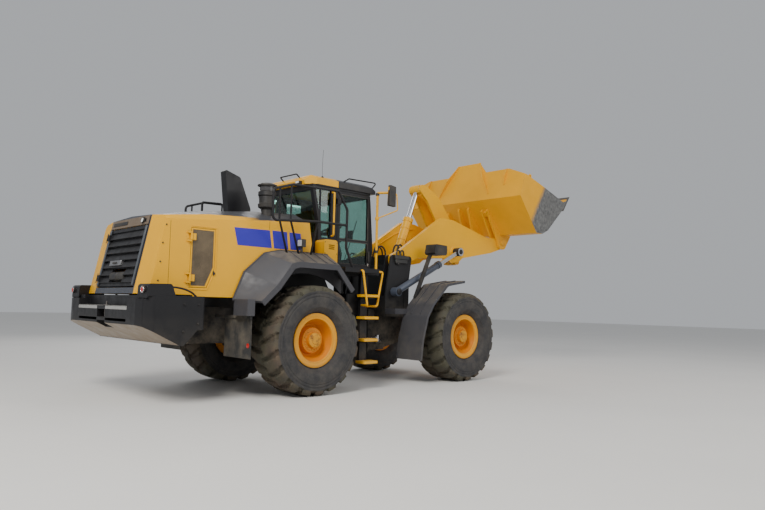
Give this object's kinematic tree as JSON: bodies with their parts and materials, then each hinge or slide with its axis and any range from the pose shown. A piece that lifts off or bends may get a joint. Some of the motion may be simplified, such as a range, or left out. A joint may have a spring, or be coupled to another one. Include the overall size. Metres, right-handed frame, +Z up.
{
  "type": "wheel loader",
  "caption": "Articulated wheel loader with cab, rear engine hood, lifting boom arms, bellcrank linkage and a general purpose bucket.",
  "frame": {"origin": "on the ground under the middle of the machine's length, on its centre plane", "axes": "+X forward towards the bucket, +Y to the machine's left, +Z up"},
  "size_m": [9.743, 3.17, 4.6538],
  "materials": {
    "yellow_paint": "semi-gloss",
    "charcoal_paint": "satin",
    "blue_grey_paint": "semi-gloss",
    "tyre": "matt",
    "chrome": "polished",
    "worn_steel": "worn",
    "cast": "rough",
    "green_glass": "clear",
    "black_plastic": "matt",
    "rubber": "matt",
    "seat_fabric": "woven"
  },
  "bodies": {
    "rear": {"rear_axle": "charcoal_paint", "rear_frame": "yellow_paint", "counterweight": "charcoal_paint", "hood_shell": "yellow_paint", "rear_fenders": "charcoal_paint", "mud_flaps": "rubber", "cab_deck": "charcoal_paint", "cab_shell": "charcoal_paint", "cab_roof": "yellow_paint", "cab_glass": "green_glass", "seat": "seat_fabric", "steering_console": "black_plastic", "engine_block": "cast", "side_tanks": "charcoal_paint", "exhaust_duct": "charcoal_paint", "air_precleaner": "black_plastic", "ladders": "yellow_paint", "ladder_posts": "charcoal_paint", "grab_rails": "yellow_paint", "side_boxes": "yellow_paint", "rear_lamps": "black_plastic", "handrails": "charcoal_paint", "mirrors": "yellow_paint"},
    "front": {"front_frame": "charcoal_paint", "front_axle": "charcoal_paint", "front_fenders": "charcoal_paint", "headlamps": "black_plastic", "valve_block": "black_plastic"},
    "boom": {"boom": "yellow_paint"},
    "bellcrank": {"bellcrank": "yellow_paint"},
    "bucket_link": {"bucket_link": "yellow_paint"},
    "bucket": {"bucket": "yellow_paint", "cutting_edge": "worn_steel"},
    "lift_barrel_left": {"lift_barrel_left": "blue_grey_paint"},
    "lift_rod_left": {"lift_rod_left": "chrome"},
    "lift_barrel_right": {"lift_barrel_right": "blue_grey_paint"},
    "lift_rod_right": {"lift_rod_right": "chrome"},
    "tilt_barrel": {"tilt_barrel": "yellow_paint"},
    "tilt_rod": {"tilt_rod": "chrome"},
    "steering_barrel_left": {"steering_barrel_left": "charcoal_paint"},
    "steering_rod_left": {"steering_rod_left": "chrome"},
    "steering_barrel_right": {"steering_barrel_right": "charcoal_paint"},
    "steering_rod_right": {"steering_rod_right": "chrome"},
    "grille_door": {"grille_door": "charcoal_paint"},
    "mesh_door_left": {"mesh_door_left": "yellow_paint"},
    "mesh_door_right": {"mesh_door_right": "yellow_paint"},
    "cab_door_left": {"cab_door_left": "charcoal_paint", "door_glass_left": "green_glass"},
    "cab_door_right": {"cab_door_right": "charcoal_paint", "door_glass_right": "green_glass"},
    "wheel_front_left": {"tyre_front_left": "tyre", "rim_front_left": "yellow_paint"},
    "wheel_front_right": {"tyre_front_right": "tyre", "rim_front_right": "yellow_paint"},
    "wheel_rear_left": {"tyre_rear_left": "tyre", "rim_rear_left": "yellow_paint"},
    "wheel_rear_right": {"tyre_rear_right": "tyre", "rim_rear_right": "yellow_paint"}
  },
  "joints": [
    {"name": "steering", "type": "hinge", "parent": "rear", "child": "front", "pos_m": [-0.42146, 0, 0.59], "axis": [0, 0, 1], "range_deg": [-36, 36]},
    {"name": "boom_lift", "type": "hinge", "parent": "front", "child": "boom", "pos_m": [0.27854, 0, 2.23], "axis": [0, -1, 0], "range_deg": [-49, 32.5]},
    {"name": "bucket_tilt", "type": "hinge", "parent": "boom", "child": "bucket", "pos_m": [3.56854, 0, 2.84], "axis": [0, 1, 0], "range_deg": [-38, 118]},
    {"name": "bellcrank_pivot", "type": "hinge", "parent": "boom", "child": "bellcrank", "pos_m": [2.25854, 0, 3.04], "axis": [0, 1, 0], "range_deg": [-35.9, 11.9]},
    {"name": "link_pivot", "type": "hinge", "parent": "bucket", "child": "bucket_link", "pos_m": [3.23854, 0, 3.07], "axis": [0, 1, 0], "range_deg": [-100.8, 32.8]},
    {"name": "lift_barrel_left_pivot", "type": "hinge", "parent": "front", "child": "lift_barrel_left", "pos_m": [0.17854, 0.718, 1.64], "axis": [0, -1, 0], "range_deg": [-42.15, 28.12]},
    {"name": "lift_rod_left_slide", "type": "slide", "parent": "lift_barrel_left", "child": "lift_rod_left", "axis": [0.8984, 0, 0.4391], "range_m": [-0.4467, 0.297]},
    {"name": "lift_barrel_right_pivot", "type": "hinge", "parent": "front", "child": "lift_barrel_right", "pos_m": [0.17854, -0.718, 1.64], "axis": [0, -1, 0], "range_deg": [-42.15, 28.12]},
    {"name": "lift_rod_right_slide", "type": "slide", "parent": "lift_barrel_right", "child": "lift_rod_right", "axis": [0.8984, 0, 0.4391], "range_m": [-0.4467, 0.297]},
    {"name": "tilt_barrel_pivot", "type": "hinge", "parent": "front", "child": "tilt_barrel", "pos_m": [0.77854, 0, 2.08], "axis": [0, -1, 0], "range_deg": [-53.42, 35.6]},
    {"name": "tilt_rod_slide", "type": "slide", "parent": "tilt_barrel", "child": "tilt_rod", "axis": [0.3674, 0, 0.9301], "range_m": [-0.4551, 0.1479]},
    {"name": "steering_barrel_left_pivot", "type": "hinge", "parent": "rear", "child": "steering_barrel_left", "pos_m": [-1.27146, 0.52, 0.78], "axis": [0, 0, 1], "range_deg": [-10.33, 10.33]},
    {"name": "steering_rod_left_slide", "type": "slide", "parent": "steering_barrel_left", "child": "steering_rod_left", "axis": [0.9992, -0.0406, 0], "range_m": [-0.2992, 0.2992]},
    {"name": "steering_barrel_right_pivot", "type": "hinge", "parent": "rear", "child": "steering_barrel_right", "pos_m": [-1.27146, -0.52, 0.78], "axis": [0, 0, 1], "range_deg": [-10.33, 10.33]},
    {"name": "steering_rod_right_slide", "type": "slide", "parent": "steering_barrel_right", "child": "steering_rod_right", "axis": [0.9992, 0.0406, 0], "range_m": [-0.2992, 0.2992]},
    {"name": "cab_door_left_hinge", "type": "hinge", "parent": "rear", "child": "cab_door_left", "pos_m": [-1.35846, 0.82, 1.975], "axis": [0, 0, 1], "range_deg": [0, 80]},
    {"name": "mesh_door_left_hinge", "type": "hinge", "parent": "rear", "child": "mesh_door_left", "pos_m": [-4.11846, 1.07, 2], "axis": [0, 0, 1], "range_deg": [0, 90]},
    {"name": "cab_door_right_hinge", "type": "hinge", "parent": "rear", "child": "cab_door_right", "pos_m": [-1.35846, -0.82, 1.975], "axis": [0, 0, -1], "range_deg": [0, 80]},
    {"name": "mesh_door_right_hinge", "type": "hinge", "parent": "rear", "child": "mesh_door_right", "pos_m": [-4.11846, -1.07, 2], "axis": [0, 0, -1], "range_deg": [0, 90]},
    {"name": "grille_hinge", "type": "hinge", "parent": "rear", "child": "grille_door", "pos_m": [-4.72517, 0.647, 1.56387], "axis": [-0.1933, 0, -0.9811], "range_deg": [0, 100]},
    {"name": "wheel_front_left_spin", "type": "hinge", "parent": "front", "child": "wheel_front_left", "pos_m": [1.35354, 1.15, 0.83], "axis": [0, 1, 0], "continuous": true},
    {"name": "wheel_front_right_spin", "type": "hinge", "parent": "front", "child": "wheel_front_right", "pos_m": [1.35354, -1.15, 0.83], "axis": [0, 1, 0], "continuous": true},
    {"name": "wheel_rear_left_spin", "type": "hinge", "parent": "rear", "child": "wheel_rear_left", "pos_m": [-2.19646, 1.15, 0.83], "axis": [0, 1, 0], "continuous": true},
    {"name": "wheel_rear_right_spin", "type": "hinge", "parent": "rear", "child": "wheel_rear_right", "pos_m": [-2.19646, -1.15, 0.83], "axis": [0, 1, 0], "continuous": true}
  ],
  "couplings": [
    {"joint": "bellcrank_pivot", "follows": "bucket_tilt", "ratio": -0.3},
    {"joint": "link_pivot", "follows": "bucket_tilt", "ratio": -0.85},
    {"joint": "lift_barrel_left_pivot", "follows": "boom_lift", "ratio": 0.85},
    {"joint": "lift_rod_left_slide", "follows": "boom_lift", "m_per_rad": 0.52},
    {"joint": "lift_barrel_right_pivot", "follows": "boom_lift", "ratio": 0.85},
    {"joint": "lift_rod_right_slide", "follows": "boom_lift", "m_per_rad": 0.52},
    {"joint": "tilt_barrel_pivot", "follows": "boom_lift", "ratio": 1.08},
    {"joint": "tilt_rod_slide", "follows": "bucket_tilt", "m_per_rad": -0.22},
    {"joint": "steering_barrel_left_pivot", "follows": "steering", "ratio": 0.273},
    {"joint": "steering_rod_left_slide", "follows": "steering", "m_per_rad": -0.473},
    {"joint": "steering_barrel_right_pivot", "follows": "steering", "ratio": 0.273},
    {"joint": "steering_rod_right_slide", "follows": "steering", "m_per_rad": 0.473}
  ]
}
